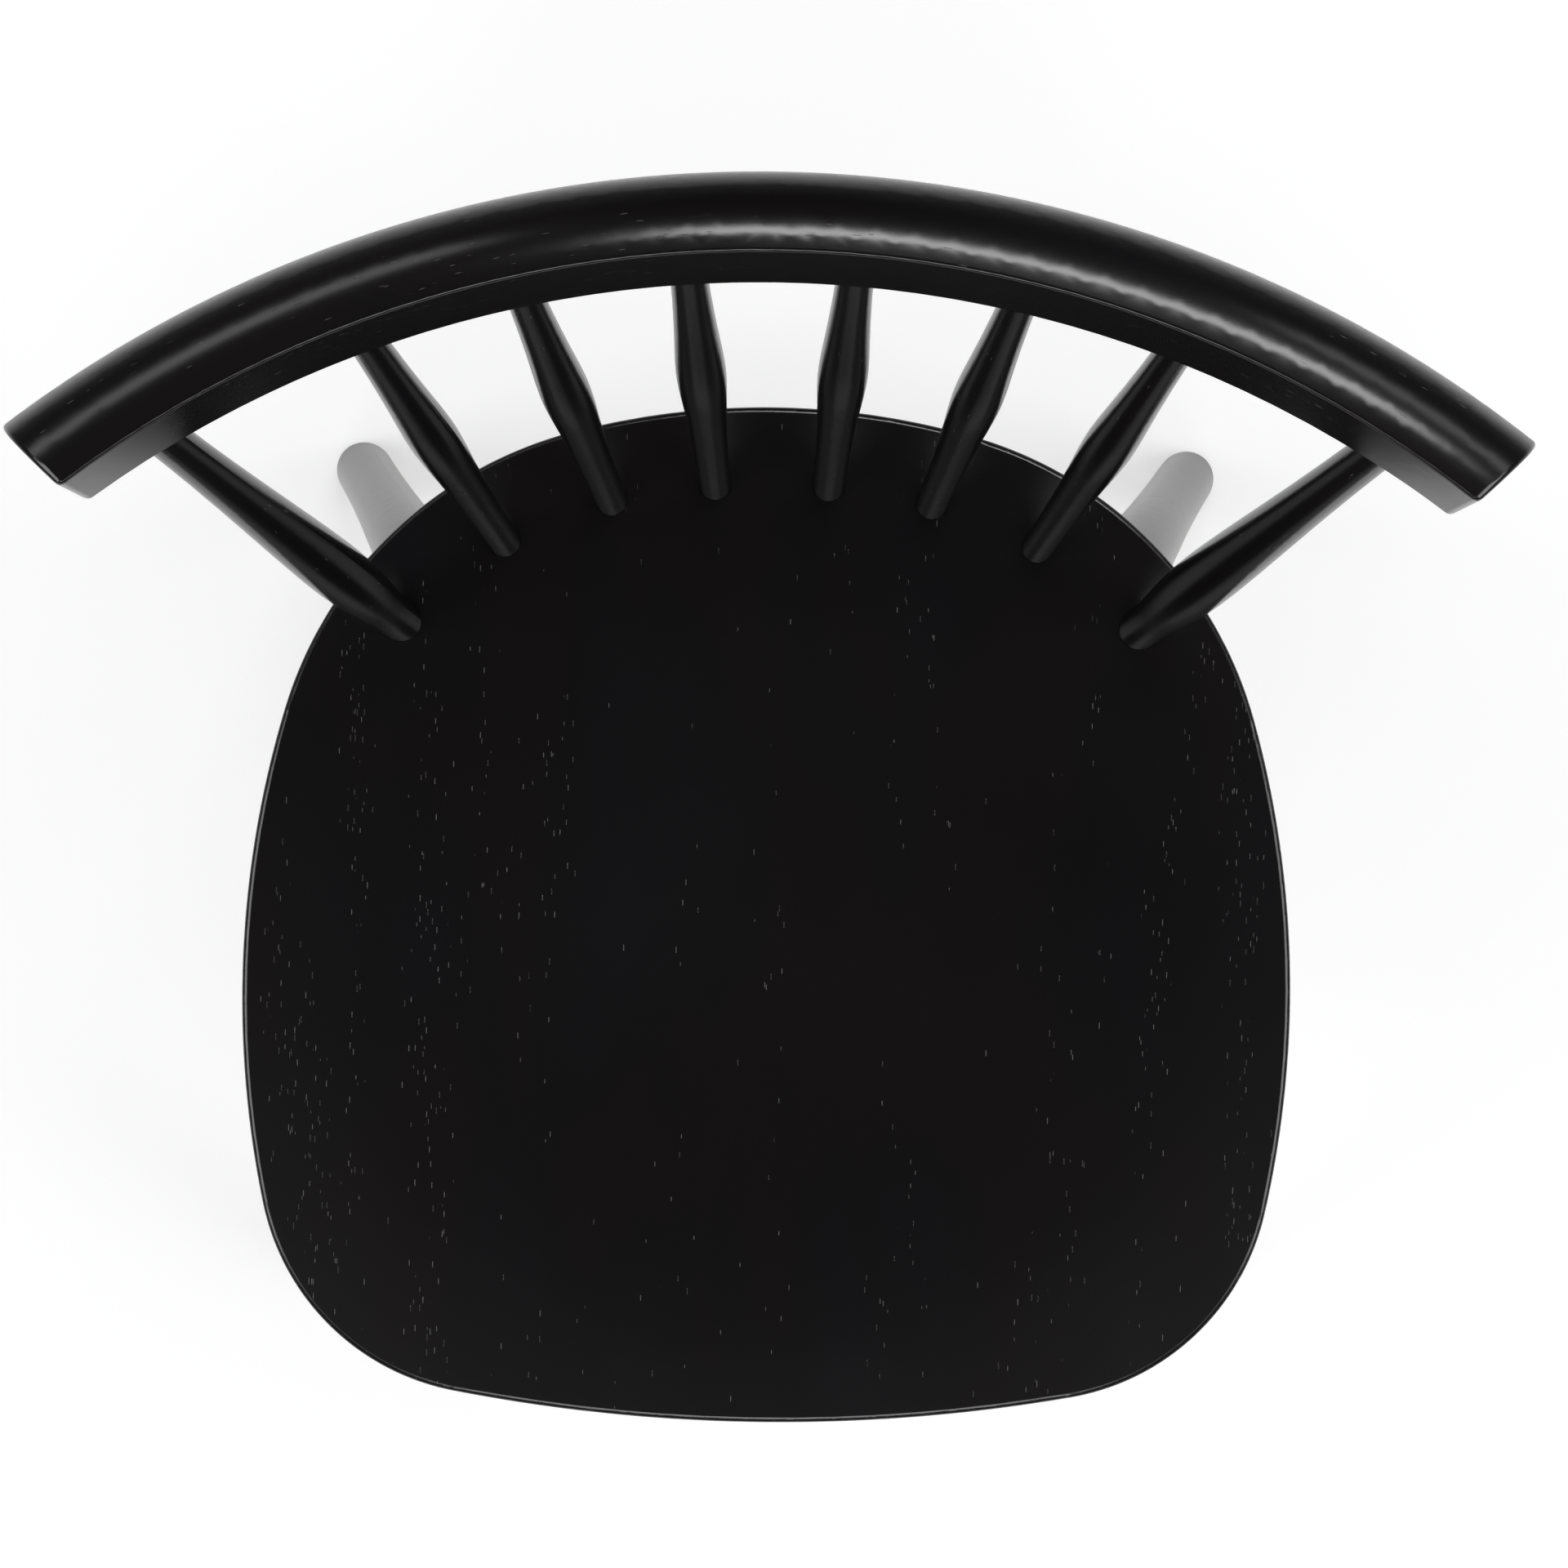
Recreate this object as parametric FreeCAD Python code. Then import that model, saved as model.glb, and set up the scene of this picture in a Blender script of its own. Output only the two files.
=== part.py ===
import FreeCAD, Part
import math
import os

from FreeCAD import Vector

# A low-back windsor chair in turned and carved wood: a saddled plank seat, four raked legs with an
# H of stretchers, eight back spindles and a curved crest rail, all joined by round tenons in sockets.
# Millimetres. X runs to the right seen from the front, Y to the back, Z up. The origin is on the
# floor under the middle of the whole chair.

# Overall sizes
OVERALL_WIDTH = 579.0
OVERALL_DEPTH = 531.0
OVERALL_HEIGHT = 749.0

# Joints: every tenon is a glued sliding fit in a blind socket
GLUE_GAP = 0.1
SOCKET_END_GAP = 1.0
TENON_CHAMFER = 1.0

# Seat plank: an outline of five arcs on each side, tangent where they meet
SEAT_HEIGHT = 445.0
SEAT_THICKNESS = 38.0
SEAT_WIDTH = 475.5
SEAT_DEPTH = 460.5
SEAT_BEHIND_INSET = 61.0
SEAT_FRONT_TO_WIDEST = 194.5
SEAT_FRONT_RADIUS = 775.0
SEAT_FRONT_CORNER_RADIUS = 109.0
SEAT_SIDE_RADIUS = 458.0
SEAT_BACK_CORNER_RADIUS = 184.5
SEAT_BACK_RADIUS = 344.0
SEAT_TOP_ROUND = 2.5
SEAT_BEVEL_WIDTH = 30.0
SEAT_BEVEL_HEIGHT = 14.0

# Hollow of the seat: an oval that fades out to the flat rim
HOLLOW_DEPTH = 9.0
HOLLOW_HALF_WIDTH = 214.0
HOLLOW_FRONT_MARGIN = 26.0
HOLLOW_BACK_MARGIN = 70.0
HOLLOW_GRID = 21
HOLLOW_TOOL_MARGIN = 40.0

# Crest rail: one section carried round an arc, upright at the ends and leaning back in the middle
CREST_BACK_RADIUS = 472.0
CREST_HEIGHT = 50.0
CREST_THICKNESS = 36.5
CREST_CROWN_DROP = 24.0
CREST_MIDDLE_LEAN = 6.5
CREST_END_LEAN = 3.0
CREST_ARRIS_ROUND = 1.5
CREST_FRONT_FOOT_ROUND = 2.5
CREST_BACK_FOOT_ROUND = 8.0
CREST_END_SKEW = 10.0
CREST_END_ROUND = 2.5
CREST_END_TURNS = (0, 15, 30, 45, 60, 75, 90)
CREST_CROWN_ANGLES = (20, 40, 60, 75)
CREST_STATIONS = 9
CREST_OUTLINE_SAMPLES = 200
CREST_TRIM_ALLOWANCE = 4.0

# Back spindles and the two stouter outer posts. A swell lists points of the widest part: how far
# each lies above the seat along the stick, and the radius there
SPINDLE_SEAT_X = (25.8, 72.8, 121.0)
SPINDLE_CREST_ANGLES = (4.3, 12.9, 21.3)
SPINDLE_EDGE_DISTANCE = 34.0
SPINDLE_FOOT_RADIUS = 7.3
SPINDLE_SWELL = ((98.0, 9.5), (128.0, 10.6), (160.0, 9.7))
SPINDLE_NECK_RADIUS = 7.3
POST_SEAT_X = 168.0
POST_CREST_ANGLE = 32.8
POST_EDGE_DISTANCE = 29.0
POST_FOOT_RADIUS = 9.5
POST_SWELL = ((38.0, 11.5), (68.0, 12.8), (104.0, 12.3))
POST_NECK_RADIUS = 8.4
STRAIGHT_AT_STICK_ENDS = 8.0
BACK_SEAT_TENON = 22.0
BACK_CREST_TENON = 22.0
CREST_SOCKET_INSET = 18.0

# Legs
FRONT_LEG_SEAT_X = 162.0
FRONT_LEG_SEAT_INSET = 91.0
FRONT_FOOT_X = 226.0
REAR_LEG_SEAT_INSET = 105.0
REAR_FOOT_X = 234.5
REAR_FOOT_BEHIND_SEAT = 6.0
LEG_TENON_RADIUS = 13.0
LEG_TENON_LENGTH = 22.0
LEG_BELLY_RADIUS = 18.8
LEG_BELLY_BELOW_SEAT = 150.0
LEG_TAPER_BELOW_SEAT = 290.0
LEG_TAPER_RADIUS = 17.4
LEG_FOOT_RADIUS = 16.0
LEG_FOOT_RIM_INSIDE = 0.9
LEG_STRAIGHT_BELOW_SEAT = 10.0
LEG_FOOT_STRAIGHT = 14.0
LEG_FOOT_CHAMFER = 2.0

# Stretchers
STRETCHER_HEIGHT = 205.0
STRETCHER_END_RADIUS = 8.0
STRETCHER_BELLY_RADIUS = 12.5
STRETCHER_TENON_PAST_AXIS = 2.0
STRETCHER_STRAIGHT = 26.0
CROSS_END_RADIUS = 7.0
CROSS_STRAIGHT = 16.0

# Floor glides and their nails
GLIDE_RADIUS = 11.5
GLIDE_THICKNESS = 4.0
GLIDE_RIM_CHAMFER = 1.0
NAIL_SHANK_RADIUS = 1.25
NAIL_LENGTH = 19.0
NAIL_POINT_LENGTH = 3.0
NAIL_TIP_RADIUS = 0.2
NAIL_HEAD_RADIUS = 3.5
NAIL_HEAD_THICKNESS = 1.2
NAIL_HEAD_SUNK = 0.8
NAIL_CLEARANCE = 0.05
NAIL_HOLE_END_GAP = 0.5

# How far an edge may lie from a plane and still count as lying in it
TOLERANCE = 0.01

# Places worked out from the sizes above
UP = Vector(0, 0, 1)
SEAT_UNDERSIDE = SEAT_HEIGHT - SEAT_THICKNESS
SEAT_BACK_Y = OVERALL_DEPTH / 2 - SEAT_BEHIND_INSET
SEAT_FRONT_Y = SEAT_BACK_Y - SEAT_DEPTH
CREST_CENTRE_Y = OVERALL_DEPTH / 2 - CREST_BACK_RADIUS
CREST_HALF_ANGLE = math.degrees(math.asin(
    (OVERALL_WIDTH / 2 - CREST_END_ROUND) / (CREST_BACK_RADIUS - CREST_END_ROUND)))


def line(start, end):
    return Part.LineSegment(start, end).toShape()


def arc(start, middle, end):
    return Part.Arc(start, middle, end).toShape()


def cylinder(start, end, radius):
    return Part.makeCylinder(radius, (end - start).Length, start, end - start)


def toward(start, end, distance):
    return start + (end - start).normalize() * distance


def placed(shape, start, end):
    """The shape, made along Z from the origin, moved to run from start towards end."""
    turn = FreeCAD.Rotation(UP, end - start)
    return shape.transformed(FreeCAD.Placement(start, turn).toMatrix(), copy=True)


def turned(bottom, body, top):
    """A turning about Z. Each argument lists (height, radius) points from the bottom up: straight
    runs below, one smooth curve for the body, and straight runs above. The curve joins the body's
    points and runs parallel to the axis where it starts and ends."""
    def at(point):
        height, radius = point
        return Vector(radius, 0, height)

    curve = Part.BSplineCurve()
    curve.interpolate([at(point) for point in body], InitialTangent=UP, FinalTangent=UP)
    low = [Vector(0, 0, bottom[0][0])] + [at(point) for point in bottom + body[:1]]
    high = [at(point) for point in body[-1:] + top] + [Vector(0, 0, top[-1][0])]
    edges = [line(start, end) for start, end in zip(low, low[1:])]
    edges.append(curve.toShape())
    edges += [line(start, end) for start, end in zip(high, high[1:])]
    edges.append(line(high[-1], low[0]))
    return Part.Face(Part.Wire(edges)).revolve(Vector(0, 0, 0), UP, 360)


def inner_blend_centre(centre_a, radius_a, centre_b, radius_b, end):
    """Centre of a circle that touches two larger circles from inside, given how far its own centre
    lies from each of theirs. Of the two that do, end picks the one nearer the front or the back."""
    span = centre_b - centre_a
    along = (radius_a ** 2 - radius_b ** 2 + span.Length ** 2) / (2 * span.Length)
    across = math.sqrt(radius_a ** 2 - along ** 2)
    foot = toward(centre_a, centre_b, along)
    side = Vector(-span.y, span.x, 0).normalize() * across
    crossings = sorted((foot + side, foot - side), key=lambda point: point.y)
    return crossings[1] if end == "back" else crossings[0]


def seat_arcs():
    """The right half of the seat's outline from front to back: (centre, radius) of each arc."""
    front = Vector(0, SEAT_FRONT_Y + SEAT_FRONT_RADIUS, 0)
    widest_y = SEAT_FRONT_Y + SEAT_FRONT_TO_WIDEST
    side = Vector(SEAT_WIDTH / 2 - SEAT_SIDE_RADIUS, widest_y, 0)
    back = Vector(0, SEAT_BACK_Y - SEAT_BACK_RADIUS, 0)
    front_corner = inner_blend_centre(
        front, SEAT_FRONT_RADIUS - SEAT_FRONT_CORNER_RADIUS,
        side, SEAT_SIDE_RADIUS - SEAT_FRONT_CORNER_RADIUS, "front")
    back_corner = inner_blend_centre(
        side, SEAT_SIDE_RADIUS - SEAT_BACK_CORNER_RADIUS,
        back, SEAT_BACK_RADIUS - SEAT_BACK_CORNER_RADIUS, "back")
    return [
        (front, SEAT_FRONT_RADIUS),
        (front_corner, SEAT_FRONT_CORNER_RADIUS),
        (side, SEAT_SIDE_RADIUS),
        (back_corner, SEAT_BACK_CORNER_RADIUS),
        (back, SEAT_BACK_RADIUS),
    ]


def meeting_point(first, second):
    """Where two arcs of the outline touch: on the line of their centres, on the smaller circle."""
    large, small = sorted((first, second), key=lambda item: -item[1])
    return toward(large[0], small[0], large[1])


def arc_about(centre, radius, start, end):
    outward = ((start - centre).normalize() + (end - centre).normalize()).normalize()
    return arc(start, centre + outward * radius, end)


def seat_outline(height):
    """The closed outline of the seat at a height, symmetric about X = 0."""
    arcs = seat_arcs()
    points = [meeting_point(a, b) for a, b in zip(arcs, arcs[1:])]
    edges = []
    front_left = Vector(-points[0].x, points[0].y, 0)
    edges.append(arc_about(arcs[0][0], arcs[0][1], front_left, points[0]))
    for number in (1, 2, 3):
        edges.append(arc_about(*arcs[number], points[number - 1], points[number]))
    back_left = Vector(-points[3].x, points[3].y, 0)
    edges.append(arc_about(arcs[4][0], arcs[4][1], points[3], back_left))
    for number in (3, 2, 1):
        centre, radius = arcs[number]
        mirrored = Vector(-centre.x, centre.y, 0)
        start = Vector(-points[number].x, points[number].y, 0)
        end = Vector(-points[number - 1].x, points[number - 1].y, 0)
        edges.append(arc_about(mirrored, radius, start, end))
    outline = Part.Wire(edges)
    outline.translate(Vector(0, 0, height))
    return outline


def behind_edge_y(x, distance):
    """Y of the point at x that lies the distance inside the seat's back outline."""
    arcs = seat_arcs()
    corner_centre, corner_radius = arcs[3]
    back_centre, back_radius = arcs[4]
    meeting = meeting_point(arcs[3], arcs[4])
    meeting_inside = toward(meeting, back_centre, distance)
    if abs(x) <= meeting_inside.x:
        centre, radius = back_centre, back_radius - distance
    else:
        centre, radius = corner_centre, corner_radius - distance
    return centre.y + math.sqrt(radius ** 2 - (abs(x) - centre.x) ** 2)


def seat_top_height(x, y):
    """Height of the seat's top: flat, with an oval hollow that fades out smoothly at its rim."""
    hollow_front = SEAT_FRONT_Y + HOLLOW_FRONT_MARGIN
    hollow_back = SEAT_BACK_Y - HOLLOW_BACK_MARGIN
    middle = (hollow_front + hollow_back) / 2
    half_length = (hollow_back - hollow_front) / 2
    spread = (x / HOLLOW_HALF_WIDTH) ** 2 + ((y - middle) / half_length) ** 2
    fade = max(0.0, 1.0 - spread)
    return SEAT_HEIGHT - HOLLOW_DEPTH * fade ** 2


def seat_top_cutter():
    """A block over the seat whose underside is the saddled surface."""
    half = SEAT_WIDTH / 2 + HOLLOW_TOOL_MARGIN
    front = SEAT_FRONT_Y - HOLLOW_TOOL_MARGIN
    length = SEAT_DEPTH + 2 * HOLLOW_TOOL_MARGIN
    steps = HOLLOW_GRID - 1
    rows = []
    for row in range(HOLLOW_GRID):
        y = front + length * row / steps
        xs = [-half + 2 * half * column / steps for column in range(HOLLOW_GRID)]
        rows.append([Vector(x, y, seat_top_height(x, y)) for x in xs])
    surface = Part.BSplineSurface()
    surface.interpolate(rows)
    return surface.toShape().extrude(Vector(0, 0, HOLLOW_TOOL_MARGIN))


def crest_outward(angle):
    """The level direction that points away from the crest's centre, at an angle from the middle."""
    return Vector(math.sin(math.radians(angle)), math.cos(math.radians(angle)), 0)


def crest_lean(angle):
    share = (angle / CREST_HALF_ANGLE) ** 2
    return CREST_MIDDLE_LEAN + (CREST_END_LEAN - CREST_MIDDLE_LEAN) * share


def crest_point(angle, across, down):
    """A point of the rail's section: across from the front face and down from the top arris."""
    lean = math.radians(crest_lean(angle))
    reach = CREST_THICKNESS * math.cos(lean) - CREST_CROWN_DROP * math.sin(lean)
    out = CREST_BACK_RADIUS - reach + across * math.cos(lean) - down * math.sin(lean)
    height = OVERALL_HEIGHT - across * math.sin(lean) - down * math.cos(lean)
    return Vector(0, CREST_CENTRE_Y, height) + crest_outward(angle) * out


def crest_section(angle):
    """A closed section: flat front, crowned top that rolls over the back, small rounds below."""
    def at(across, down):
        return crest_point(angle, across, down)

    def crown(across):
        return CREST_CROWN_DROP * (1 - math.sqrt(1 - (across / CREST_THICKNESS) ** 2))

    corner = 1 - math.sqrt(0.5)
    arris = CREST_ARRIS_ROUND
    front = CREST_FRONT_FOOT_ROUND
    back = CREST_BACK_FOOT_ROUND
    arris_end = at(arris, crown(arris))
    back_start = at(CREST_THICKNESS, CREST_CROWN_DROP)
    crown_across = [CREST_THICKNESS * math.sin(math.radians(turn)) for turn in CREST_CROWN_ANGLES]
    crown_points = [at(across, crown(across)) for across in crown_across]
    across_direction = at(1, 0) - at(0, 0)
    down_direction = at(0, 1) - at(0, 0)
    curve = Part.BSplineCurve()
    curve.interpolate([arris_end] + crown_points + [back_start],
                      InitialTangent=across_direction, FinalTangent=down_direction)
    return Part.Wire([
        curve.toShape(),
        line(back_start, at(CREST_THICKNESS, CREST_HEIGHT - back)),
        arc(at(CREST_THICKNESS, CREST_HEIGHT - back),
            at(CREST_THICKNESS - corner * back, CREST_HEIGHT - corner * back),
            at(CREST_THICKNESS - back, CREST_HEIGHT)),
        line(at(CREST_THICKNESS - back, CREST_HEIGHT), at(front, CREST_HEIGHT)),
        arc(at(front, CREST_HEIGHT), at(corner * front, CREST_HEIGHT - corner * front),
            at(0, CREST_HEIGHT - front)),
        line(at(0, CREST_HEIGHT - front), at(0, arris)),
        arc(at(0, arris), at(corner * arris, corner * arris), arris_end),
    ])


def crest_end_plane(side):
    """A point of the flat cut where one end starts to round over, and the cut's outward direction.
    The cut is skewed, so that the back of the rail is a little longer than its front."""
    outward = crest_outward(CREST_HALF_ANGLE)
    point = Vector(0, CREST_CENTRE_Y, 0) + outward * (CREST_BACK_RADIUS - CREST_END_ROUND)
    normal = crest_outward(CREST_HALF_ANGLE + 90 + CREST_END_SKEW)
    return Vector(side * point.x, point.y, 0), Vector(side * normal.x, normal.y, 0)


def crest_end_cutter(side):
    """A block outside the end cut of the rail, on one side."""
    point, normal = crest_end_plane(side)
    size = 2 * (CREST_THICKNESS + CREST_HEIGHT)
    block = Part.makeBox(size, 2 * size, size, Vector(0, -size, OVERALL_HEIGHT - size / 2))
    block.rotate(Vector(0, 0, 0), UP, math.degrees(math.atan2(normal.y, normal.x)))
    block.translate(point)
    return block


def crest_end_outline(rail, side):
    """The outline that the flat cut leaves at one end of the rail."""
    point, normal = crest_end_plane(side)
    for face in rail.Faces:
        if abs((face.CenterOfMass - point).dot(normal)) < TOLERANCE:
            return face.OuterWire
    raise ValueError("the rail has no face in its end cut")


def crest_end_cap(rail, side):
    """The rounded end of the rail: the cut's outline, carried on along the rail while it shrinks
    by a quarter round on all sides."""
    outline = crest_end_outline(rail, side)
    point, normal = crest_end_plane(side)
    level = UP.cross(normal)
    points = outline.discretize(CREST_OUTLINE_SAMPLES)
    across = [(sample - point).dot(level) for sample in points]
    heights = [sample.z for sample in points]
    width = max(across) - min(across)
    height = max(heights) - min(heights)
    middle = point + level * (max(across) + min(across)) / 2
    middle.z = (max(heights) + min(heights)) / 2
    turn_to_axis = math.atan2(normal.y, normal.x)
    run = (middle - Vector(0, CREST_CENTRE_Y, middle.z)).cross(UP) * side
    along_rail = run / run.dot(normal)
    sections = []
    for turn in CREST_END_TURNS:
        inset = CREST_END_ROUND * (1 - math.cos(math.radians(turn)))
        reach = CREST_END_ROUND * math.sin(math.radians(turn))
        change = FreeCAD.Matrix()
        change.move(-middle)
        change.rotateZ(-turn_to_axis)
        change.scale(1, 1 - 2 * inset / width, 1 - 2 * inset / height)
        change.rotateZ(turn_to_axis)
        change.move(middle + along_rail * reach)
        sections.append(Part.Wire(outline.transformGeometry(change).Edges))
    return Part.makeLoft(sections, True, False)


def crest_blank():
    """The rail before its sockets are bored."""
    reach = CREST_HALF_ANGLE + CREST_TRIM_ALLOWANCE
    steps = CREST_STATIONS - 1
    angles = [-reach + 2 * reach * step / steps for step in range(CREST_STATIONS)]
    rail = Part.makeLoft([crest_section(angle) for angle in angles], True, False)
    for side in (-1, 1):
        rail = rail.cut(crest_end_cutter(side))
    caps = [crest_end_cap(rail, side) for side in (-1, 1)]
    return rail.fuse(caps).removeSplitter()


def back_stick_line(seat_x, edge_distance, crest_angle):
    """The axis of a back spindle, from the seat's top to the crest's underside."""
    side = math.copysign(1, seat_x)
    foot = Vector(seat_x, behind_edge_y(seat_x, edge_distance), SEAT_HEIGHT)
    head = crest_point(side * crest_angle, CREST_SOCKET_INSET, CREST_HEIGHT)
    return foot, head


def back_sticks():
    """Name, axis and sizes of each of the eight back sticks, from left to right."""
    sticks = []
    spindle = (SPINDLE_FOOT_RADIUS, SPINDLE_SWELL, SPINDLE_NECK_RADIUS)
    post = (POST_FOOT_RADIUS, POST_SWELL, POST_NECK_RADIUS)
    pairs = list(zip(SPINDLE_SEAT_X, SPINDLE_CREST_ANGLES))
    ordered = [(-x, angle) for x, angle in reversed(pairs)] + pairs
    for number, (x, angle) in enumerate(ordered, start=1):
        axis = back_stick_line(x, SPINDLE_EDGE_DISTANCE, angle)
        sticks.append((f"spindle_{number}", axis, spindle))
    for name, side in (("left", -1), ("right", 1)):
        axis = back_stick_line(side * POST_SEAT_X, POST_EDGE_DISTANCE, POST_CREST_ANGLE)
        sticks.append((f"back_post_{name}", axis, post))
    return sticks


def back_stick(axis, sizes):
    """A turned back stick that swells from a slim foot and tapers again to its neck."""
    foot, head = axis
    foot_radius, swell, neck_radius = sizes
    length = (head - foot).Length
    low = -BACK_SEAT_TENON
    high = length + BACK_CREST_TENON
    below = [(low, foot_radius - TENON_CHAMFER), (low + TENON_CHAMFER, foot_radius)]
    body = [
        (STRAIGHT_AT_STICK_ENDS, foot_radius),
        *swell,
        (length - STRAIGHT_AT_STICK_ENDS, neck_radius),
    ]
    above = [(high - TENON_CHAMFER, neck_radius), (high, neck_radius - TENON_CHAMFER)]
    return placed(turned(below, body, above), foot, head)


def socket(mouth, inside, radius, depth):
    """A blind boring that starts well outside its mouth, so that a slanted mouth is cut open."""
    direction = (inside - mouth).normalize()
    start = mouth - direction * 2 * radius
    return cylinder(start, mouth + direction * (depth + SOCKET_END_GAP), radius + GLUE_GAP)


def legs():
    """Name, seat point and foot point of each leg. The foot point is on the floor."""
    front_seat_y = SEAT_FRONT_Y + FRONT_LEG_SEAT_INSET
    rear_seat_x = POST_SEAT_X - 2 * LEG_TENON_RADIUS
    rear_seat_y = SEAT_BACK_Y - REAR_LEG_SEAT_INSET
    front_foot_y = LEG_FOOT_RADIUS - LEG_FOOT_RIM_INSIDE - OVERALL_DEPTH / 2
    rear_foot_y = SEAT_BACK_Y + REAR_FOOT_BEHIND_SEAT
    ends = []
    for name, side in (("left", -1), ("right", 1)):
        front_seat_point = Vector(side * FRONT_LEG_SEAT_X, front_seat_y, SEAT_UNDERSIDE)
        front_foot_point = Vector(side * FRONT_FOOT_X, front_foot_y, 0)
        rear_seat_point = Vector(side * rear_seat_x, rear_seat_y, SEAT_UNDERSIDE)
        rear_foot_point = Vector(side * REAR_FOOT_X, rear_foot_y, 0)
        ends.append((f"leg_front_{name}", front_seat_point, front_foot_point))
        ends.append((f"leg_rear_{name}", rear_seat_point, rear_foot_point))
    return ends


def leg_point(ends, height):
    """The point on a leg's axis at a height."""
    name, seat_point, foot_point = ends
    return foot_point + (seat_point - foot_point) * (height / seat_point.z)


def stretcher_joint(side, end):
    """Where a side stretcher's axis crosses the axis of the front or rear leg on its side."""
    name = f"leg_{end}_{side}"
    ends = next(item for item in legs() if item[0] == name)
    return leg_point(ends, STRETCHER_HEIGHT)


def leg(ends):
    """A turned leg: round tenon, slim neck, belly and tapered foot, cut level for its glide."""
    name, seat_point, foot_point = ends
    length = (foot_point - seat_point).Length
    end = length + LEG_FOOT_STRAIGHT
    tenon = [(-LEG_TENON_LENGTH, LEG_TENON_RADIUS - TENON_CHAMFER),
             (-LEG_TENON_LENGTH + TENON_CHAMFER, LEG_TENON_RADIUS)]
    body = [
        (LEG_STRAIGHT_BELOW_SEAT, LEG_TENON_RADIUS),
        (LEG_BELLY_BELOW_SEAT, LEG_BELLY_RADIUS),
        (LEG_TAPER_BELOW_SEAT, LEG_TAPER_RADIUS),
        (length - LEG_FOOT_STRAIGHT, LEG_FOOT_RADIUS),
    ]
    blank = placed(turned(tenon, body, [(end, LEG_FOOT_RADIUS)]), seat_point, foot_point)
    size = 8 * LEG_FOOT_RADIUS
    corner = Vector(foot_point.x - size / 2, foot_point.y - size / 2, GLIDE_THICKNESS - size)
    blank = blank.cut(Part.makeBox(size, size, size, corner))
    bottom_edges = [edge for edge in blank.Edges if edge.BoundBox.ZMax < GLIDE_THICKNESS + TOLERANCE]
    return blank.makeChamfer(LEG_FOOT_CHAMFER, bottom_edges)


def glide_centre(ends):
    return leg_point(ends, GLIDE_THICKNESS)


def stretcher(start, end, end_radius, straight):
    """A turned stretcher between two joints. Its tenons run a little past the axes they meet."""
    length = (end - start).Length
    low = -STRETCHER_TENON_PAST_AXIS
    high = length + STRETCHER_TENON_PAST_AXIS
    below = [(low, end_radius - TENON_CHAMFER), (low + TENON_CHAMFER, end_radius)]
    body = [(straight, end_radius), (length / 2, STRETCHER_BELLY_RADIUS),
            (length - straight, end_radius)]
    above = [(high - TENON_CHAMFER, end_radius), (high, end_radius - TENON_CHAMFER)]
    return placed(turned(below, body, above), start, end)


def stretcher_socket(joint, other, radius):
    """The boring in the piece that a stretcher's tenon enters, from past the axis to the outside."""
    start = joint - (other - joint).normalize() * (STRETCHER_TENON_PAST_AXIS + SOCKET_END_GAP)
    return cylinder(start, toward(joint, other, 2 * LEG_BELLY_RADIUS), radius + GLUE_GAP)


def side_middle(side):
    """The middle of a side stretcher's axis, where the cross stretcher enters it."""
    return (stretcher_joint(side, "front") + stretcher_joint(side, "rear")) * 0.5


def nail_hole(centre):
    """The pilot hole up into a leg for a glide's nail."""
    reach = NAIL_HEAD_SUNK + NAIL_LENGTH + NAIL_HOLE_END_GAP
    top = Vector(centre.x, centre.y, reach)
    return cylinder(centre - UP * GLIDE_THICKNESS, top, NAIL_SHANK_RADIUS + NAIL_CLEARANCE)


def glide(centre):
    """A round plastic pad with an eased rim and a sunk hole for its nail."""
    floor_point = Vector(centre.x, centre.y, 0)
    pad = Part.makeCylinder(GLIDE_RADIUS, GLIDE_THICKNESS, floor_point, UP)
    rim = [edge for edge in pad.Edges if edge.BoundBox.ZMax < TOLERANCE]
    pad = pad.makeChamfer(GLIDE_RIM_CHAMFER, rim)
    head_top = NAIL_HEAD_SUNK + NAIL_HEAD_THICKNESS
    pad = pad.cut(Part.makeCylinder(NAIL_HEAD_RADIUS + NAIL_CLEARANCE, head_top, floor_point, UP))
    shank = NAIL_SHANK_RADIUS + NAIL_CLEARANCE
    return pad.cut(Part.makeCylinder(shank, GLIDE_THICKNESS, floor_point, UP))


def nail(centre):
    """A glide nail: flat head sunk in the pad, round shank and conical point."""
    floor_point = Vector(centre.x, centre.y, 0)
    head_bottom = floor_point + UP * NAIL_HEAD_SUNK
    head_top = head_bottom + UP * NAIL_HEAD_THICKNESS
    point_start = head_bottom + UP * (NAIL_LENGTH - NAIL_POINT_LENGTH)
    head = cylinder(head_bottom, head_top, NAIL_HEAD_RADIUS)
    shank = cylinder(head_top, point_start, NAIL_SHANK_RADIUS)
    point = Part.makeCone(NAIL_SHANK_RADIUS, NAIL_TIP_RADIUS, NAIL_POINT_LENGTH, point_start, UP)
    return head.fuse([shank, point]).removeSplitter()


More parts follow.
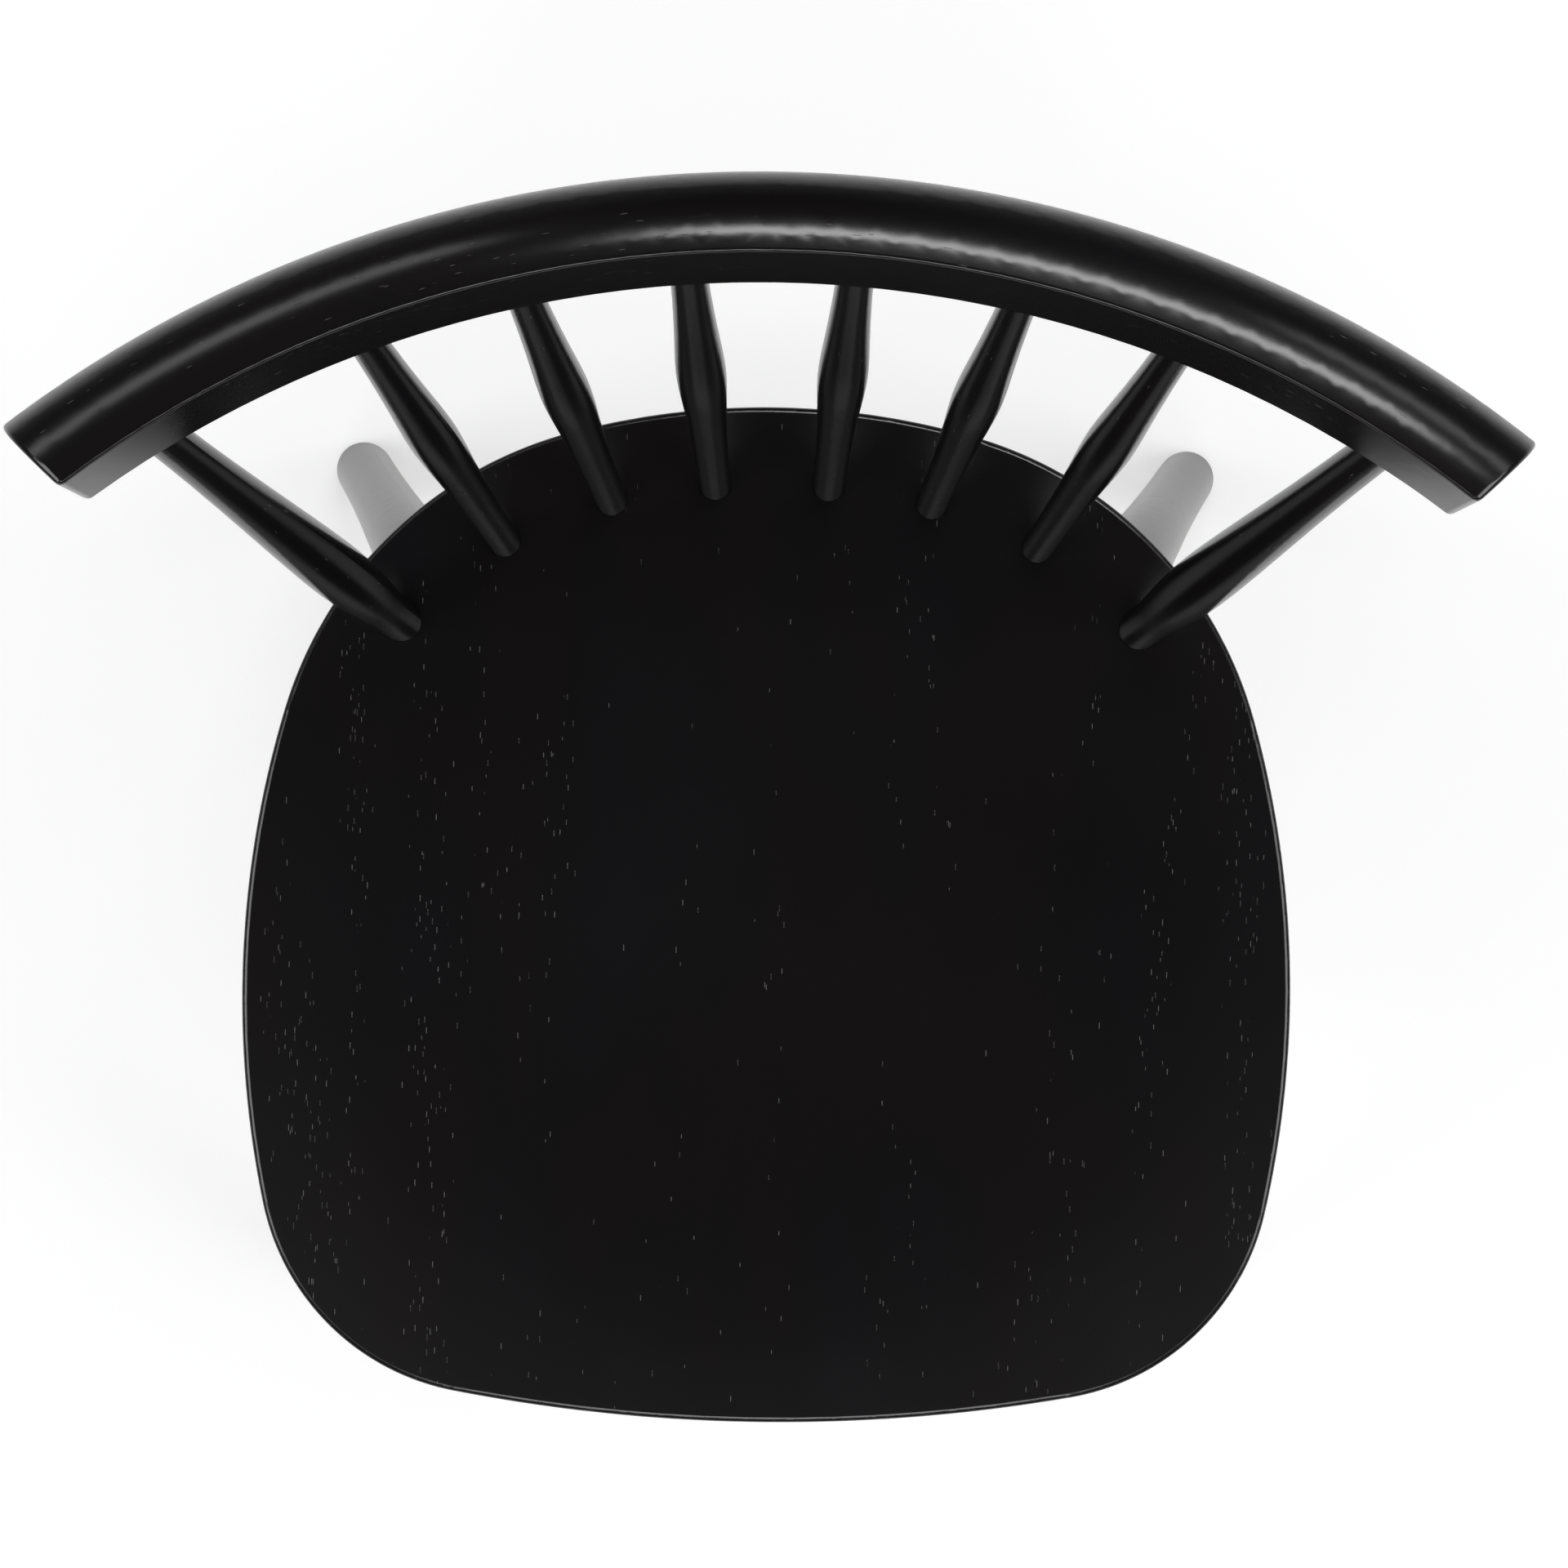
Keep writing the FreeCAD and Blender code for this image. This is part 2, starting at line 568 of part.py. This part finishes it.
def make_seat():
    plank = Part.Face(seat_outline(SEAT_UNDERSIDE))
    plank = plank.extrude(UP * (SEAT_THICKNESS + HOLLOW_TOOL_MARGIN / 2))
    plank = plank.cut(seat_top_cutter())
    half_way = SEAT_UNDERSIDE + SEAT_THICKNESS / 2
    top_edges = [edge for edge in plank.Edges if edge.BoundBox.ZMin > half_way]
    plank = plank.makeFillet(SEAT_TOP_ROUND, top_edges)
    under_edges = [edge for edge in plank.Edges if edge.BoundBox.ZMax < SEAT_UNDERSIDE + TOLERANCE]
    plank = plank.makeChamfer(SEAT_BEVEL_WIDTH, SEAT_BEVEL_HEIGHT, under_edges)
    for name, (foot, head), sizes in back_sticks():
        plank = plank.cut(socket(foot, foot + foot - head, sizes[0], BACK_SEAT_TENON))
    for name, seat_point, foot_point in legs():
        inside = seat_point + seat_point - foot_point
        plank = plank.cut(socket(seat_point, inside, LEG_TENON_RADIUS, LEG_TENON_LENGTH))
    return plank


def make_crest():
    rail = crest_blank()
    for name, (foot, head), sizes in back_sticks():
        rail = rail.cut(socket(head, head + head - foot, sizes[2], BACK_CREST_TENON))
    return rail


def make_legs():
    shapes = {}
    for ends in legs():
        name = ends[0]
        end, side = name.split("_")[1:]
        other = "rear" if end == "front" else "front"
        joint = stretcher_joint(side, end)
        shape = leg(ends)
        shape = shape.cut(stretcher_socket(joint, stretcher_joint(side, other), STRETCHER_END_RADIUS))
        shapes[name] = shape.cut(nail_hole(glide_centre(ends)))
    return shapes


def make_stretchers():
    shapes = {}
    middles = {side: side_middle(side) for side in ("left", "right")}
    for side, other in (("left", "right"), ("right", "left")):
        shape = stretcher(stretcher_joint(side, "front"), stretcher_joint(side, "rear"),
                          STRETCHER_END_RADIUS, STRETCHER_STRAIGHT)
        hole = stretcher_socket(middles[side], middles[other], CROSS_END_RADIUS)
        shapes[f"stretcher_{side}"] = shape.cut(hole)
    shapes["stretcher_cross"] = stretcher(middles["left"], middles["right"], CROSS_END_RADIUS,
                                          CROSS_STRAIGHT)
    return shapes


def make_glides():
    shapes = {}
    nails = []
    for ends in legs():
        centre = glide_centre(ends)
        shapes[ends[0].replace("leg", "glide")] = glide(centre)
        nails.append(nail(centre))
    shapes["glide_nails"] = Part.makeCompound(nails)
    return shapes


def main():
    parts = {"seat": make_seat(), "crest_rail": make_crest()}
    parts.update({name: back_stick(axis, sizes) for name, axis, sizes in back_sticks()})
    parts.update(make_legs())
    parts.update(make_stretchers())
    parts.update(make_glides())
    os.makedirs("parts", exist_ok=True)
    for name, shape in parts.items():
        shape.exportStep(f"parts/{name}.step")
        box = shape.BoundBox
        print(name, len(shape.Solids), "solids", round(shape.Volume), "mm3, valid", shape.isValid(),
              [round(v, 1) for v in (box.XMin, box.YMin, box.ZMin, box.XMax, box.YMax, box.ZMax)])


main()
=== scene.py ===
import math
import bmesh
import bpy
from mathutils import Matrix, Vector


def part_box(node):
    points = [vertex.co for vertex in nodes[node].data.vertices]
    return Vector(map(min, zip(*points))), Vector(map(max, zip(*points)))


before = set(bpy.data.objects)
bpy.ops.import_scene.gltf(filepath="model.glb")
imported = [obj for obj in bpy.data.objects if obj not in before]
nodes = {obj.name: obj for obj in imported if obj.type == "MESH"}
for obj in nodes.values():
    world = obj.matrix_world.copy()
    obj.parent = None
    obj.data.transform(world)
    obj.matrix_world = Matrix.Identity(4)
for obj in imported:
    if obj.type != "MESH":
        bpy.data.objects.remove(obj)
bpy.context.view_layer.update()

# %% [markdown]
# A low-back windsor chair: a saddled plank seat, turned legs and back sticks, and one thick curved
# rail. The frame above brought in every solid piece at its real size. This lesson gives the pieces
# their finish and lights the chair as a studio would to show a black finish against white. Every solid
# keeps its shape.

print("pieces in the frame:", len(nodes))

# %% [markdown]
# The rail's grain runs round a curve, so the finish needs the circle that the rail follows, seen from
# above. Its centre lies one radius in front of the rail's back edge, on the chair's middle line.

# %% Places on the chair
CREST_RADIUS = 0.472

rail_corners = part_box("crest_rail")
CREST_CENTRE_Y = rail_corners[1].y - CREST_RADIUS
print("centre of the rail's circle, y:", round(CREST_CENTRE_Y, 4))

# %% [markdown]
# Grain runs along each piece: front to back in the seat, round the curve in the rail, and along the
# axis of every turned piece. A turned piece leans, so its axis is found from the mesh: the mean of
# the points near its top minus the mean of the points near its foot.

# %% Which way the grain runs
def long_axis(node, share=0.08):
    """Unit vector along a turned piece, from the lower end to the upper end."""
    points = [vertex.co for vertex in nodes[node].data.vertices]
    low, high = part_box(node)
    spans = [high[k] - low[k] for k in range(3)]
    longest = spans.index(max(spans))
    slice_depth = spans[longest] * share
    bottom = [p for p in points if p[longest] < low[longest] + slice_depth]
    top = [p for p in points if p[longest] > high[longest] - slice_depth]
    start = sum(bottom, Vector()) / len(bottom)
    end = sum(top, Vector()) / len(top)
    return (end - start).normalized()


turned = [name for name in nodes if name.startswith(("spindle", "back_post", "leg", "stretcher"))]
for name in sorted(turned):
    print(name, "axis", [round(v, 3) for v in long_axis(name)])

# %% [markdown]
# A black finish on open-pored wood is never one flat black. The stain is a little uneven, the pores
# are short grooves that lie along the grain in bands, and lacquer bridges some of them. Small helper
# functions keep the node trees readable: one adds a node, one does a sum.

# %% Helpers for materials
def new_material(name):
    material = bpy.data.materials.new(name)
    material.use_nodes = True
    material.node_tree.nodes.clear()
    return material, material.node_tree


def add(tree, kind, **settings):
    node = tree.nodes.new(kind)
    for key, value in settings.items():
        setattr(node, key, value)
    return node


def sums(tree, operation, *values):
    """A math node. Each value is a number or the output of another node."""
    node = add(tree, "ShaderNodeMath", operation=operation)
    for socket, value in zip(node.inputs, values):
        if isinstance(value, (int, float)):
            socket.default_value = value
        else:
            tree.links.new(value, socket)
    return node.outputs[0]


def ramp(tree, value, low, high):
    """0 below low, 1 above high and a smooth step between them."""
    node = add(tree, "ShaderNodeMapRange", interpolation_type="SMOOTHSTEP")
    tree.links.new(value, node.inputs["Value"])
    node.inputs["From Min"].default_value = low
    node.inputs["From Max"].default_value = high
    return node.outputs["Result"]


def stretched(tree, vector, across, along):
    """The vector in cells of the given width and length, for a pattern that follows the grain."""
    node = add(tree, "ShaderNodeVectorMath", operation="DIVIDE")
    tree.links.new(vector, node.inputs[0])
    node.inputs[1].default_value = (across, along, across)
    return node.outputs["Vector"]


def noise(tree, vector, detail=2.0):
    node = add(tree, "ShaderNodeTexNoise")
    tree.links.new(vector, node.inputs["Vector"])
    node.inputs["Scale"].default_value = 1.0
    node.inputs["Detail"].default_value = detail
    return node.outputs["Fac"]


# %% [markdown]
# The grain's own axes: y runs along the grain, x and z across it. A straight piece only needs its
# object coordinates turned. The rail's grain was steamed round a curve, so its along axis is the
# distance round the circle.

# %% Grain axes
def straight_grain(tree, axis):
    place = add(tree, "ShaderNodeTexCoord")
    turn = add(tree, "ShaderNodeMapping", vector_type="POINT")
    turn.inputs["Rotation"].default_value = axis.rotation_difference(Vector((0, 1, 0))).to_euler()
    tree.links.new(place.outputs["Object"], turn.inputs["Vector"])
    return turn.outputs["Vector"]


def curved_grain(tree):
    place = add(tree, "ShaderNodeTexCoord")
    split = add(tree, "ShaderNodeSeparateXYZ")
    tree.links.new(place.outputs["Object"], split.inputs[0])
    forward = sums(tree, "SUBTRACT", split.outputs["Y"], CREST_CENTRE_Y)
    angle = sums(tree, "ARCTAN2", split.outputs["X"], forward)
    along = sums(tree, "MULTIPLY", angle, CREST_RADIUS)
    squares = sums(tree, "ADD", sums(tree, "POWER", split.outputs["X"], 2.0),
                   sums(tree, "POWER", forward, 2.0))
    out = sums(tree, "SQRT", squares)
    join = add(tree, "ShaderNodeCombineXYZ")
    tree.links.new(out, join.inputs["X"])
    tree.links.new(along, join.inputs["Y"])
    tree.links.new(split.outputs["Z"], join.inputs["Z"])
    return join.outputs["Vector"]


# %% [markdown]
# Each pore is one cell of a stretched cell pattern, a groove a few millimetres long and a third of a
# millimetre wide. A second, much wider noise says where the bands of early wood lie, and only there
# are the pores kept. More than half only show as a small dent in the lacquer, and the rest are painted
# pale: partly a speck of filler, partly a painted glint of light on the pore walls. The seat has more
# of them towards its sides. The stain itself is a little browner in some clouds and bluer in others.

# %% The black wood
STAIN_WARM = (0.0052, 0.0042, 0.0044, 1.0)
STAIN_COOL = (0.0038, 0.0038, 0.0046, 1.0)
# Pale colour for some pores: partly filler, partly a painted glint of light on the pore walls.
PALE_FILLER_AND_GLINT = (0.085, 0.082, 0.08, 1.0)
PORE_WIDTH = 0.0007
PORE_LENGTH = 0.0075
BAND_WIDTH = 0.016
BAND_LENGTH = 0.22
CLOUD_SIZE = 0.06
FIBRE_WIDTH = 0.0007
FIBRE_LENGTH = 0.05
SIDE_START = 0.09
SIDE_END = 0.23
SIDE_MIDDLE = 0.3
BAND_LOW = 0.44
BAND_HIGH = 0.66
PORE_EDGE = 0.24
PORE_CORE = 0.14
FILLER_AND_GLINT_SHARE = 0.45
CLOUD_LOW = 0.35
CLOUD_HIGH = 0.65
CLOUD_ROUGHNESS = 0.06
BUMP_STRENGTH = 0.5
BUMP_HEIGHT = 0.0001
LACQUER_IOR = 1.5


def toward_the_sides(tree):
    """Rises from SIDE_MIDDLE in the seat's middle to 1 at its sides, where more rings are cut."""
    place = add(tree, "ShaderNodeTexCoord")
    split = add(tree, "ShaderNodeSeparateXYZ")
    tree.links.new(place.outputs["Object"], split.inputs[0])
    sideways = ramp(tree, sums(tree, "ABSOLUTE", split.outputs["X"]), SIDE_START, SIDE_END)
    return sums(tree, "ADD", sums(tree, "MULTIPLY", sideways, 1.0 - SIDE_MIDDLE), SIDE_MIDDLE)


def pores(tree, vector, density, share=1.0):
    """Two masks: every pore that is kept, and those of them painted pale, as filler and as a painted
    glint.
    """
    cells = add(tree, "ShaderNodeTexVoronoi", feature="F1")
    cells.inputs["Scale"].default_value = 1.0
    tree.links.new(stretched(tree, vector, PORE_WIDTH, PORE_LENGTH), cells.inputs["Vector"])
    split = add(tree, "ShaderNodeSeparateColor")
    tree.links.new(cells.outputs["Color"], split.inputs[0])
    bands = ramp(tree, noise(tree, stretched(tree, vector, BAND_WIDTH, BAND_LENGTH)), BAND_LOW, BAND_HIGH)
    share_here = sums(tree, "MULTIPLY", sums(tree, "MULTIPLY", bands, density), share)
    kept = sums(tree, "LESS_THAN", split.outputs[0], share_here)
    core = ramp(tree, cells.outputs["Distance"], PORE_EDGE, PORE_CORE)
    pore = sums(tree, "MULTIPLY", core, kept)
    # Pores painted pale: partly filler, partly a painted glint of light on the pore walls.
    filler_and_glint = sums(tree, "MULTIPLY", pore, sums(tree, "LESS_THAN", split.outputs[1], FILLER_AND_GLINT_SHARE))
    return pore, filler_and_glint


def black_wood(name, grain, density=0.15, roughness=0.22, fibre_height=0.1, sides=None):
    """Black stained and lacquered wood. Fibre height is a share of a pore's depth."""
    material, tree = new_material(name)
    vector = grain(tree)
    pore, filler_and_glint = pores(tree, vector, density, sides(tree) if sides else 1.0)
    fibre = noise(tree, stretched(tree, vector, FIBRE_WIDTH, FIBRE_LENGTH), 3.0)
    cloud = noise(tree, stretched(tree, vector, CLOUD_SIZE, 3 * CLOUD_SIZE), 2.0)
    stain = add(tree, "ShaderNodeMix", data_type="RGBA")
    tree.links.new(ramp(tree, cloud, CLOUD_LOW, CLOUD_HIGH), stain.inputs["Factor"])
    stain.inputs["A"].default_value = STAIN_WARM
    stain.inputs["B"].default_value = STAIN_COOL
    tint = add(tree, "ShaderNodeMix", data_type="RGBA")
    tree.links.new(filler_and_glint, tint.inputs["Factor"])
    tree.links.new(stain.outputs["Result"], tint.inputs["A"])
    # The pale pores: filler and a painted glint of light on the pore walls.
    tint.inputs["B"].default_value = PALE_FILLER_AND_GLINT
    height = sums(tree, "SUBTRACT", sums(tree, "MULTIPLY", fibre, fibre_height), pore)
    bump = add(tree, "ShaderNodeBump")
    bump.inputs["Strength"].default_value = BUMP_STRENGTH
    bump.inputs["Distance"].default_value = BUMP_HEIGHT
    tree.links.new(height, bump.inputs["Height"])
    shader = add(tree, "ShaderNodeBsdfPrincipled")
    shader.inputs["IOR"].default_value = LACQUER_IOR
    rough = sums(tree, "ADD", sums(tree, "MULTIPLY", cloud, CLOUD_ROUGHNESS),
                 roughness - CLOUD_ROUGHNESS / 2)
    tree.links.new(tint.outputs["Result"], shader.inputs["Base Color"])
    tree.links.new(rough, shader.inputs["Roughness"])
    tree.links.new(bump.outputs["Normal"], shader.inputs["Normal"])
    end = add(tree, "ShaderNodeOutputMaterial")
    tree.links.new(shader.outputs[0], end.inputs["Surface"])
    return material


def finish_with(node, material):
    data = nodes[node].data
    data.materials.clear()
    data.materials.append(material)


def seat_grain(tree):
    return straight_grain(tree, Vector((0, 1, 0)))


def turned_grain(node):
    axis = long_axis(node)
    return lambda tree: straight_grain(tree, axis)


finish_with("seat", black_wood("seat_wood", seat_grain, density=0.42, sides=toward_the_sides))
finish_with("crest_rail", black_wood("crest_wood", curved_grain, density=0.26, roughness=0.18,
                                     fibre_height=0.03))
for name in sorted(turned):
    finish_with(name, black_wood(name + "_wood", turned_grain(name)))
print("wood finishes:", len(turned) + 2)

# %% [markdown]
# The glides are moulded nylon and the nails plain steel wire. Both are small and face the floor, so
# a fine grained plastic and a softly brushed steel are enough.

# %% Glides and nails
NYLON = (0.02, 0.018, 0.016, 1.0)
NYLON_GRAIN = 0.0004
NYLON_BUMP_STRENGTH = 0.3
NYLON_BUMP_HEIGHT = 0.00005
NYLON_ROUGHNESS = 0.35
NYLON_ROUGHNESS_SPREAD = 0.2
STEEL = (0.55, 0.55, 0.56, 1.0)
SCRATCH_WIDTH = 0.0002
SCRATCH_LENGTH = 0.003
STEEL_ROUGHNESS = 0.2
STEEL_ROUGHNESS_SPREAD = 0.25


def glide_plastic():
    material, tree = new_material("glide_nylon")
    place = add(tree, "ShaderNodeTexCoord")
    grain = noise(tree, stretched(tree, place.outputs["Object"], NYLON_GRAIN, NYLON_GRAIN))
    bump = add(tree, "ShaderNodeBump")
    bump.inputs["Strength"].default_value = NYLON_BUMP_STRENGTH
    bump.inputs["Distance"].default_value = NYLON_BUMP_HEIGHT
    tree.links.new(grain, bump.inputs["Height"])
    shader = add(tree, "ShaderNodeBsdfPrincipled")
    shader.inputs["Base Color"].default_value = NYLON
    rough = sums(tree, "ADD", sums(tree, "MULTIPLY", grain, NYLON_ROUGHNESS_SPREAD), NYLON_ROUGHNESS)
    tree.links.new(rough, shader.inputs["Roughness"])
    tree.links.new(bump.outputs["Normal"], shader.inputs["Normal"])
    end = add(tree, "ShaderNodeOutputMaterial")
    tree.links.new(shader.outputs[0], end.inputs["Surface"])
    return material


def nail_steel():
    material, tree = new_material("nail_steel")
    place = add(tree, "ShaderNodeTexCoord")
    scratches = noise(tree, stretched(tree, place.outputs["Object"], SCRATCH_WIDTH, SCRATCH_LENGTH))
    shader = add(tree, "ShaderNodeBsdfPrincipled")
    shader.inputs["Base Color"].default_value = STEEL
    shader.inputs["Metallic"].default_value = 1.0
    rough = sums(tree, "ADD", sums(tree, "MULTIPLY", scratches, STEEL_ROUGHNESS_SPREAD), STEEL_ROUGHNESS)
    tree.links.new(rough, shader.inputs["Roughness"])
    end = add(tree, "ShaderNodeOutputMaterial")
    tree.links.new(shader.outputs[0], end.inputs["Surface"])
    return material


nylon = glide_plastic()
for name in nodes:
    if name.startswith("glide_") and name != "glide_nails":
        finish_with(name, nylon)
finish_with("glide_nails", nail_steel())

# %% [markdown]
# The camera hangs straight above the chair. Its height was found from how much the rail is enlarged
# against the seat and the feet.

# %% Camera
CAMERA_HEIGHT = 2.153
CAMERA_X = 0.007
CAMERA_Y = 0.0336
CAMERA_ROLL = 0.65
CAMERA_LENS = 86.57

camera_data = bpy.data.cameras.new("camera")
camera_data.lens = CAMERA_LENS
camera_data.sensor_width = 36.0
camera = bpy.data.objects.new("camera", camera_data)
camera.location = (CAMERA_X, CAMERA_Y, CAMERA_HEIGHT)
camera.rotation_euler = (0, 0, math.radians(CAMERA_ROLL))
bpy.context.scene.collection.objects.link(camera)
bpy.context.scene.camera = camera

# %% [markdown]
# Black lacquer shows only what it reflects. One strip light behind the chair draws the bright line
# along the rail, low boxes at the back left and right draw the second lines at its ends, and large
# soft boxes at the sides and the front light the rest. Nothing hangs straight above the seat, so its
# middle stays dark.

# %% Lights
CHAIR_MIDDLE = Vector((0, 0, 0.6))


def softbox(name, azimuth, from_vertical, distance, width, height, radiance):
    """An area light that faces the chair. Azimuth 0 is behind it and 90 is on its right."""
    turn = math.radians(azimuth)
    tilt = math.radians(from_vertical)
    away = Vector((math.sin(tilt) * math.sin(turn), math.sin(tilt) * math.cos(turn), math.cos(tilt)))
    data = bpy.data.lights.new(name, "AREA")
    data.shape = "RECTANGLE"
    data.size = width
    data.size_y = height
    data.energy = radiance * math.pi * width * height
    light = bpy.data.objects.new(name, data)
    light.location = CHAIR_MIDDLE + away * distance
    light.rotation_euler = away.to_track_quat("Z", "Y").to_euler()
    bpy.context.scene.collection.objects.link(light)


softbox("strip_behind", azimuth=18, from_vertical=40, distance=2.5, width=1.5, height=0.28, radiance=12.0)
softbox("low_left", azimuth=-45, from_vertical=57, distance=2.5, width=2.1, height=0.3, radiance=2.2)
softbox("low_right", azimuth=56, from_vertical=57, distance=2.5, width=1.95, height=0.3, radiance=1.8)
for side, sign in (("left", -1), ("right", 1)):
    softbox("side_" + side, azimuth=100 * sign, from_vertical=50, distance=2.6, width=1.6, height=1.1,
            radiance=4.6)
for side, sign in (("left", -1), ("right", 1)):
    softbox("front_" + side, azimuth=142 * sign, from_vertical=34, distance=2.6, width=1.2, height=1.0,
            radiance=1.2)
softbox("front", azimuth=180, from_vertical=45, distance=2.6, width=1.2, height=0.8, radiance=5.6)
print("lights:", len(bpy.data.lights))

# %% [markdown]
# The room: a pale floor that keeps the chair's shadow, and a world that is white to the camera. For
# reflections the world is dark overhead and brightens towards the horizon and the two sides, as a
# studio's walls do.

# %% Room
FLOOR_SIZE = 12.0
FLOOR_COLOUR = (0.8, 0.8, 0.8, 1.0)
FLOOR_GLOW = 0.42
OVERHEAD_LEVEL = 0.015
WALL_TOP = 0.3
WALL_LEVEL = 0.15
SIDEWAYS_START = 0.02
SIDEWAYS_END = 0.3
SIDEWAYS_LEVEL = 0.06


def seen_directly(tree):
    """1 for a ray from the camera, a mirror or glass, and 0 for the light that reaches the chair."""
    rays = add(tree, "ShaderNodeLightPath")
    mirrors = sums(tree, "MAXIMUM", rays.outputs["Is Glossy Ray"], rays.outputs["Is Transmission Ray"])
    return sums(tree, "MAXIMUM", rays.outputs["Is Camera Ray"], mirrors)


def studio_floor():
    bm = bmesh.new()
    bmesh.ops.create_grid(bm, x_segments=1, y_segments=1, size=FLOOR_SIZE / 2)
    mesh = bpy.data.meshes.new("studio_floor")
    bm.to_mesh(mesh)
    bm.free()
    floor = bpy.data.objects.new("studio_floor", mesh)
    bpy.context.scene.collection.objects.link(floor)
    material, tree = new_material("pale_floor")
    paper = add(tree, "ShaderNodeBsdfDiffuse")
    paper.inputs["Color"].default_value = FLOOR_COLOUR
    glow = add(tree, "ShaderNodeEmission")
    tree.links.new(sums(tree, "MULTIPLY", seen_directly(tree), FLOOR_GLOW), glow.inputs["Strength"])
    both = add(tree, "ShaderNodeAddShader")
    tree.links.new(paper.outputs[0], both.inputs[0])
    tree.links.new(glow.outputs[0], both.inputs[1])
    end = add(tree, "ShaderNodeOutputMaterial")
    tree.links.new(both.outputs[0], end.inputs["Surface"])
    mesh.materials.append(material)
    return floor


def studio_world():
    world = bpy.data.worlds.new("studio")
    world.use_nodes = True
    tree = world.node_tree
    tree.nodes.clear()
    place = add(tree, "ShaderNodeTexCoord")
    split = add(tree, "ShaderNodeSeparateXYZ")
    tree.links.new(place.outputs["Generated"], split.inputs[0])
    wall = ramp(tree, split.outputs["Z"], WALL_TOP, 0.0)
    sideways = sums(tree, "ABSOLUTE", split.outputs["X"])
    beside = ramp(tree, sideways, SIDEWAYS_START, SIDEWAYS_END)
    level = sums(tree, "ADD", sums(tree, "MULTIPLY", wall, WALL_LEVEL),
                 sums(tree, "MULTIPLY", beside, SIDEWAYS_LEVEL))
    rays = add(tree, "ShaderNodeLightPath")
    studio = sums(tree, "ADD", level, OVERHEAD_LEVEL)
    strength = sums(tree, "MAXIMUM", studio, rays.outputs["Is Camera Ray"])
    sky = add(tree, "ShaderNodeBackground")
    tree.links.new(strength, sky.inputs["Strength"])
    end = add(tree, "ShaderNodeOutputWorld")
    tree.links.new(sky.outputs[0], end.inputs["Surface"])
    bpy.context.scene.world = world


studio_floor()
studio_world()
bpy.context.scene.view_settings.view_transform = "Standard"
